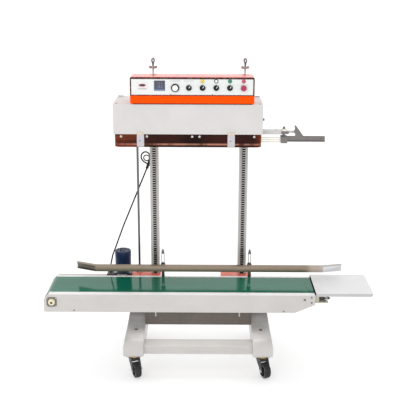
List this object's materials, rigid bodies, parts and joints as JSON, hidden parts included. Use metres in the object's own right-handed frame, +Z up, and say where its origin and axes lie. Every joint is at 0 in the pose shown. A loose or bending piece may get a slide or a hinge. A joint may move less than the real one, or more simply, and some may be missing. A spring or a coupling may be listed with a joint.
{
  "type": "continuous band sealer",
  "caption": "Floor-standing vertical continuous band sealer with belt conveyor, racked posts, lifting sealing head, control box, guide rail, infeed table and casters.",
  "frame": {"origin": "on the floor, at the centre of the bounding box", "axes": "+X along the belt towards the infeed table, +Y from the operator to the back, +Z up"},
  "size_m": [1.4803, 0.614, 1.49],
  "materials": {
    "painted_light": "satin",
    "zinc_steel": "satin",
    "stainless": "brushed",
    "rack_steel": "matte",
    "belt_green": "gloss",
    "brass_cap": "satin",
    "motor_blue": "gloss",
    "dark_metal": "satin",
    "painted_orange": "gloss",
    "cable_black": "matte",
    "shaft_steel": "satin",
    "amber_shield": "gloss",
    "panel_white": "satin",
    "black_plastic": "satin",
    "lamp_plastic": "gloss",
    "ptfe_band": "matte",
    "brass_block": "matte",
    "silicone_wheel": "matte",
    "white_plastic": "gloss",
    "red_plastic": "gloss",
    "caster_rubber": "matte"
  },
  "bodies": {
    "base": {"legs": "painted_light", "crossbeams": "painted_light", "caster_plates": "zinc_steel", "posts": "painted_light", "post_racks": "rack_steel", "eye_studs": "zinc_steel", "front_panel": "painted_light", "rear_panel": "painted_light", "belt_bed": "zinc_steel", "conveyor_belt": "belt_green", "roller_bearings": "brass_cap", "tension_units": "zinc_steel", "motor": "motor_blue", "gearbox": "dark_metal", "drive_chain": "rack_steel", "chain_guard": "painted_light", "rail_brackets": "stainless", "post_covers": "painted_orange", "motor_cable": "cable_black", "frame_fasteners": "zinc_steel", "infeed_table": "painted_light"},
    "head": {"head_carriage": "zinc_steel", "head_cover": "painted_light", "shield": "amber_shield", "shield_clips": "painted_light", "sealing_deck": "zinc_steel", "control_box": "painted_orange", "control_panel": "panel_white", "display": "black_plastic", "indicator_lamps": "lamp_plastic", "sealing_bands": "ptfe_band", "heating_blocks": "brass_block", "infeed_arm": "painted_light", "infeed_guide": "stainless"},
    "drive_roller": {"drive_roller": "zinc_steel"},
    "tail_roller": {"tail_roller": "zinc_steel"},
    "motor_sprocket": {"motor_sprocket": "rack_steel"},
    "drive_shaft": {"drive_shaft": "shaft_steel"},
    "band_wheel_front_drive": {"band_wheel_front_drive": "silicone_wheel"},
    "band_wheel_front_idler": {"band_wheel_front_idler": "silicone_wheel"},
    "band_wheel_rear_drive": {"band_wheel_rear_drive": "silicone_wheel"},
    "band_wheel_rear_idler": {"band_wheel_rear_idler": "silicone_wheel"},
    "guide_rail": {"guide_rail": "stainless"},
    "lift_shaft": {"lift_shaft": "zinc_steel"},
    "lift_crank": {"lift_crank": "dark_metal"},
    "speed_knob": {"speed_knob": "white_plastic"},
    "selector_1": {"selector_1": "black_plastic"},
    "selector_2": {"selector_2": "black_plastic"},
    "selector_3": {"selector_3": "black_plastic"},
    "selector_4": {"selector_4": "black_plastic"},
    "stop_button": {"stop_button": "red_plastic"},
    "caster_fork_fl": {"caster_fork_fl": "dark_metal"},
    "caster_wheel_fl": {"caster_wheel_fl": "caster_rubber"},
    "caster_fork_fr": {"caster_fork_fr": "dark_metal"},
    "caster_wheel_fr": {"caster_wheel_fr": "caster_rubber"},
    "caster_fork_rl": {"caster_fork_rl": "dark_metal"},
    "caster_wheel_rl": {"caster_wheel_rl": "caster_rubber"},
    "caster_fork_rr": {"caster_fork_rr": "dark_metal"},
    "caster_wheel_rr": {"caster_wheel_rr": "caster_rubber"}
  },
  "joints": [
    {"name": "drive_roller_spin", "type": "hinge", "parent": "base", "child": "drive_roller", "pos_m": [-0.704, 0, 0.4347], "axis": [0, 1, 0], "continuous": true},
    {"name": "tail_roller_spin", "type": "hinge", "parent": "base", "child": "tail_roller", "pos_m": [0.441, 0, 0.4347], "axis": [0, 1, 0], "continuous": true},
    {"name": "motor_sprocket_spin", "type": "hinge", "parent": "base", "child": "motor_sprocket", "pos_m": [-0.40555, 0, 0.4347], "axis": [0, 1, 0], "continuous": true},
    {"name": "drive_shaft_spin", "type": "hinge", "parent": "base", "child": "drive_shaft", "pos_m": [-0.329, -0.01, 0.7], "axis": [0, 0, 1], "continuous": true},
    {"name": "band_wheel_front_drive_spin", "type": "hinge", "parent": "head", "child": "band_wheel_front_drive", "pos_m": [-0.33, -0.20645, 1.16], "axis": [0, 0, 1], "continuous": true},
    {"name": "band_wheel_front_idler_spin", "type": "hinge", "parent": "head", "child": "band_wheel_front_idler", "pos_m": [0.165, -0.20645, 1.16], "axis": [0, 0, 1], "continuous": true},
    {"name": "band_wheel_rear_drive_spin", "type": "hinge", "parent": "head", "child": "band_wheel_rear_drive", "pos_m": [-0.33, -0.13955, 1.16], "axis": [0, 0, 1], "continuous": true},
    {"name": "band_wheel_rear_idler_spin", "type": "hinge", "parent": "head", "child": "band_wheel_rear_idler", "pos_m": [0.165, -0.13955, 1.16], "axis": [0, 0, 1], "continuous": true},
    {"name": "rail_height", "type": "slide", "parent": "base", "child": "guide_rail", "axis": [0, 0, 1], "range_m": [-0.02, 0.05]},
    {"name": "head_lift", "type": "slide", "parent": "base", "child": "head", "axis": [0, 0, 1], "range_m": [-0.4, 0]},
    {"name": "lift_shaft_spin", "type": "hinge", "parent": "head", "child": "lift_shaft", "pos_m": [0, -0.04938, 1.2], "axis": [1, 0, 0], "range_deg": [-1, 1093]},
    {"name": "lift_crank_spin", "type": "hinge", "parent": "head", "child": "lift_crank", "pos_m": [-0.046, 0, 1.2], "axis": [0, 1, 0], "range_deg": [-1, 1093]},
    {"name": "speed_knob_turn", "type": "hinge", "parent": "head", "child": "speed_knob", "pos_m": [-0.144, -0.283, 1.398], "axis": [0, -1, 0], "range_deg": [-135, 135]},
    {"name": "selector_1_turn", "type": "hinge", "parent": "head", "child": "selector_1", "pos_m": [-0.087, -0.283, 1.398], "axis": [0, -1, 0], "range_deg": [-45, 45]},
    {"name": "selector_2_turn", "type": "hinge", "parent": "head", "child": "selector_2", "pos_m": [-0.03, -0.283, 1.398], "axis": [0, -1, 0], "range_deg": [-45, 45]},
    {"name": "selector_3_turn", "type": "hinge", "parent": "head", "child": "selector_3", "pos_m": [0.027, -0.283, 1.398], "axis": [0, -1, 0], "range_deg": [-45, 45]},
    {"name": "selector_4_turn", "type": "hinge", "parent": "head", "child": "selector_4", "pos_m": [0.084, -0.283, 1.398], "axis": [0, -1, 0], "range_deg": [-45, 45]},
    {"name": "stop_button_press", "type": "slide", "parent": "head", "child": "stop_button", "axis": [0, 1, 0], "range_m": [0, 0.004], "stiffness_N_per_m": 300},
    {"name": "caster_swivel_fl", "type": "hinge", "parent": "base", "child": "caster_fork_fl", "pos_m": [-0.352, -0.152, 0.099], "axis": [0, 0, 1], "continuous": true},
    {"name": "caster_roll_fl", "type": "hinge", "parent": "caster_fork_fl", "child": "caster_wheel_fl", "pos_m": [-0.33911, -0.18238, 0.0375], "axis": [0.9205, 0.3907, 0], "continuous": true},
    {"name": "caster_swivel_fr", "type": "hinge", "parent": "base", "child": "caster_fork_fr", "pos_m": [0.26, -0.152, 0.099], "axis": [0, 0, 1], "continuous": true},
    {"name": "caster_roll_fr", "type": "hinge", "parent": "caster_fork_fr", "child": "caster_wheel_fr", "pos_m": [0.27289, -0.18238, 0.0375], "axis": [0.9205, 0.3907, 0], "continuous": true},
    {"name": "caster_swivel_rl", "type": "hinge", "parent": "base", "child": "caster_fork_rl", "pos_m": [-0.345, 0.252, 0.099], "axis": [0, 0, 1], "continuous": true},
    {"name": "caster_roll_rl", "type": "hinge", "parent": "caster_fork_rl", "child": "caster_wheel_rl", "pos_m": [-0.35789, 0.22162, 0.0375], "axis": [0.9205, -0.3907, 0], "continuous": true},
    {"name": "caster_swivel_rr", "type": "hinge", "parent": "base", "child": "caster_fork_rr", "pos_m": [0.253, 0.252, 0.099], "axis": [0, 0, 1], "continuous": true},
    {"name": "caster_roll_rr", "type": "hinge", "parent": "caster_fork_rr", "child": "caster_wheel_rr", "pos_m": [0.26589, 0.22162, 0.0375], "axis": [0.9205, 0.3907, 0], "continuous": true}
  ],
  "couplings": [
    {"joint": "tail_roller_spin", "follows": "drive_roller_spin", "ratio": 1},
    {"joint": "motor_sprocket_spin", "follows": "drive_roller_spin", "ratio": 1},
    {"joint": "drive_shaft_spin", "follows": "drive_roller_spin", "ratio": 1},
    {"joint": "band_wheel_front_drive_spin", "follows": "drive_roller_spin", "ratio": -1.0901},
    {"joint": "band_wheel_front_idler_spin", "follows": "drive_roller_spin", "ratio": -1.0901},
    {"joint": "band_wheel_rear_drive_spin", "follows": "drive_roller_spin", "ratio": 1.0901},
    {"joint": "band_wheel_rear_idler_spin", "follows": "drive_roller_spin", "ratio": 1.0901},
    {"joint": "lift_shaft_spin", "follows": "head_lift", "rad_per_m": -47.619},
    {"joint": "lift_crank_spin", "follows": "head_lift", "rad_per_m": -47.619}
  ]
}
